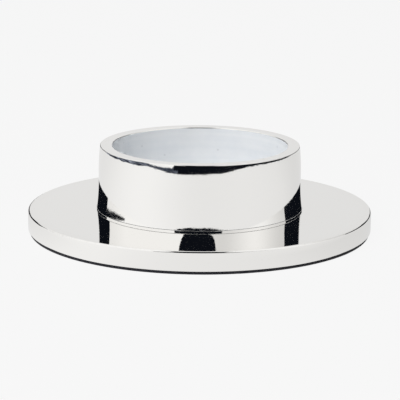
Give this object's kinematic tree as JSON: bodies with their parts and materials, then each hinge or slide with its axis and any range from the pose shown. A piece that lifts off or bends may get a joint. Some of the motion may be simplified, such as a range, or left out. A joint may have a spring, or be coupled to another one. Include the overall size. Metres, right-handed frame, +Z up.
{
  "type": "candle ring",
  "caption": "Round polished drip plate carrying a short upright ring that holds a pillar candle, with felt underneath.",
  "frame": {"origin": "middle of the felt pad's underside, where the object meets the table", "axes": "+Z up along the common axis of ring, plate and pad; X and Y are free because the object is round, with one screw on +X"},
  "size_m": [0.12, 0.12, 0.0303],
  "materials": {
    "polished_ring": "nickel plated and mirror polished outside, satin turned inside",
    "polished_plate": "nickel plated and mirror polished",
    "screw_steel": "zinc plated steel",
    "adhesive_film": "translucent acrylic film",
    "felt": "pressed black felt"
  },
  "bodies": {
    "root": {"cup_ring": "polished_ring", "base_plate": "polished_plate", "ring_screws": "screw_steel", "pad_adhesive": "adhesive_film", "base_pad": "felt"}
  },
  "joints": []
}
